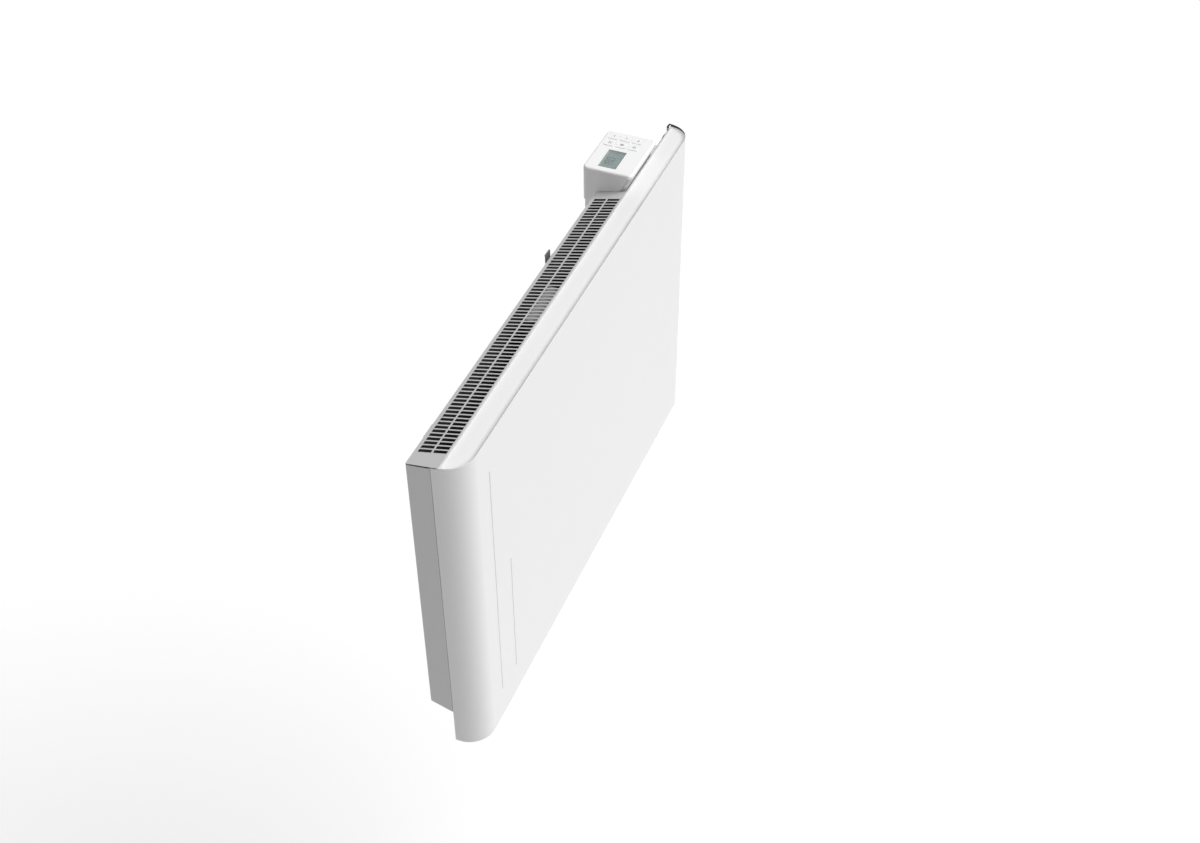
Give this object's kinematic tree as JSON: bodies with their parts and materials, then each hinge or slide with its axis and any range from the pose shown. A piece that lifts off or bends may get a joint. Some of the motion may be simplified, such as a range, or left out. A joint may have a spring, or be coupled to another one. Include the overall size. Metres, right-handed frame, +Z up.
{
  "type": "wall panel convector heater",
  "caption": "Flat panel convector heater on a wall bracket, with a slotted top air outlet and a control box with a display and keys at one end of its top.",
  "frame": {"origin": "centre of the rectangle of four fixing holes in the wall bracket, on the wall's plane", "axes": "+X to the right along the panel as seen from the front, +Y into the wall, +Z up"},
  "size_m": [0.645, 0.084, 0.441],
  "materials": {
    "panel_paint": "satin",
    "casing_paint": "satin",
    "white_plastic": "fine texture",
    "key_plastic": "satin",
    "zinc_steel": "zinc plated",
    "bolt_steel": "satin",
    "aluminium": "mill",
    "sheath_steel": "heat darkened",
    "ceramic": "matt",
    "brass": "satin",
    "black_plastic": "matt",
    "window": "clear",
    "lcd": "gloss",
    "circuit_board": "gloss",
    "relay_blue": "satin",
    "winding_yellow": "satin",
    "terminal_green": "satin",
    "lead_brown": "satin",
    "lead_red": "satin",
    "lead_blue": "satin",
    "lead_green_yellow": "satin",
    "lead_grey": "satin",
    "rubber": "matt"
  },
  "bodies": {
    "heater": {"front_panel": "panel_paint", "rear_casing": "casing_paint", "outlet_grille": "casing_paint", "top_end_cover": "casing_paint", "inlet_grille": "casing_paint", "left_bulkhead": "zinc_steel", "right_bulkhead": "zinc_steel", "panel_nuts": "zinc_steel", "heating_element": "aluminium", "element_core": "sheath_steel", "element_bushes": "ceramic", "element_terminals": "brass", "heat_shield": "aluminium", "band_stiffener": "zinc_steel", "thermal_cutout": "black_plastic", "control_cover": "white_plastic", "control_housing": "white_plastic", "display_window": "window", "lcd_module": "lcd", "display_board": "circuit_board", "tactile_switches": "black_plastic", "power_board": "circuit_board", "relay": "relay_blue", "capacitor": "black_plastic", "transformer": "winding_yellow", "terminal_block": "terminal_green", "ribbon_cable": "lead_grey", "cable_gland": "black_plastic", "cord_clamp": "black_plastic", "live_lead": "lead_brown", "link_lead": "lead_red", "neutral_lead": "lead_blue", "earth_lead": "lead_green_yellow", "earth_screw": "brass", "air_sensor": "black_plastic", "sensor_clip": "white_plastic", "sensor_lead": "lead_grey", "casing_screws": "zinc_steel", "housing_screws": "zinc_steel", "cover_screws": "zinc_steel", "board_screws": "zinc_steel", "wall_bracket": "zinc_steel", "keepers": "zinc_steel", "wall_spacers": "rubber"},
    "bolt_left": {"bolt_left": "bolt_steel"},
    "bolt_right": {"bolt_right": "bolt_steel"},
    "key_power": {"key_power": "key_plastic"},
    "key_mode": {"key_mode": "key_plastic"},
    "key_menu": {"key_menu": "key_plastic"},
    "key_back": {"key_back": "key_plastic"},
    "key_down": {"key_down": "key_plastic"},
    "key_up": {"key_up": "key_plastic"}
  },
  "joints": [
    {"name": "bolt_left_slide", "type": "slide", "parent": "heater", "child": "bolt_left", "axis": [0, 0, 1], "range_m": [0, 0.012]},
    {"name": "bolt_right_slide", "type": "slide", "parent": "heater", "child": "bolt_right", "axis": [0, 0, 1], "range_m": [-0.012, 0]},
    {"name": "key_power_press", "type": "slide", "parent": "heater", "child": "key_power", "axis": [0, 0, -1], "range_m": [0, 0.0005], "stiffness_N_per_m": 200},
    {"name": "key_mode_press", "type": "slide", "parent": "heater", "child": "key_mode", "axis": [0, 0, -1], "range_m": [0, 0.0005], "stiffness_N_per_m": 200},
    {"name": "key_menu_press", "type": "slide", "parent": "heater", "child": "key_menu", "axis": [0, 0, -1], "range_m": [0, 0.0005], "stiffness_N_per_m": 200},
    {"name": "key_back_press", "type": "slide", "parent": "heater", "child": "key_back", "axis": [0, 0, -1], "range_m": [0, 0.0005], "stiffness_N_per_m": 200},
    {"name": "key_down_press", "type": "slide", "parent": "heater", "child": "key_down", "axis": [0, 0, -1], "range_m": [0, 0.0005], "stiffness_N_per_m": 200},
    {"name": "key_up_press", "type": "slide", "parent": "heater", "child": "key_up", "axis": [0, 0, -1], "range_m": [0, 0.0005], "stiffness_N_per_m": 200}
  ]
}
